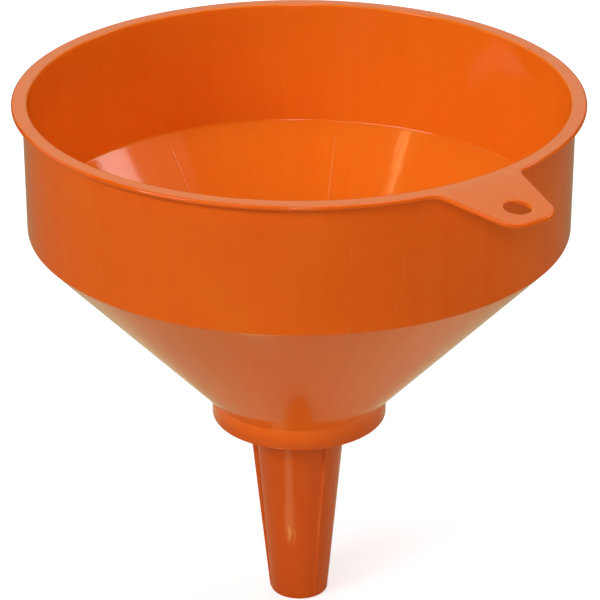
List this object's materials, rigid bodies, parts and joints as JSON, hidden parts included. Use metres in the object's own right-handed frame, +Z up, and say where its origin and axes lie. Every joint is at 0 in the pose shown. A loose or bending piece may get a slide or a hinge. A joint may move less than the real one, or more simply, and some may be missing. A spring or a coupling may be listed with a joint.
{
  "type": "funnel with removable strainer",
  "caption": "Wide plastic funnel with a straight-sided bowl, cone, stepped collar, ribbed tapered spout, hanging tab and lift-out gauze strainer.",
  "frame": {"origin": "on the funnel's axis, in the plane of the collar's underside, which sits on a container's neck", "axes": "+Z up along the funnel's axis, +X from the axis towards the hanging tab"},
  "size_m": [0.2685, 0.235, 0.2324],
  "materials": {
    "funnel_plastic": "orange polyethylene, satin to glossy moulded skin",
    "strainer_plastic": "orange polyethylene, satin moulded skin",
    "gauze_wire": "fine woven brass wire"
  },
  "bodies": {
    "funnel": {"funnel_body": "funnel_plastic"},
    "strainer": {"strainer_frame": "strainer_plastic", "strainer_gauze": "gauze_wire", "strainer_clamp_ring": "strainer_plastic"}
  },
  "joints": [
    {"name": "strainer_lift_out", "type": "slide", "parent": "funnel", "child": "strainer", "axis": [0, 0, 1], "range_m": [0, 0.165]}
  ]
}
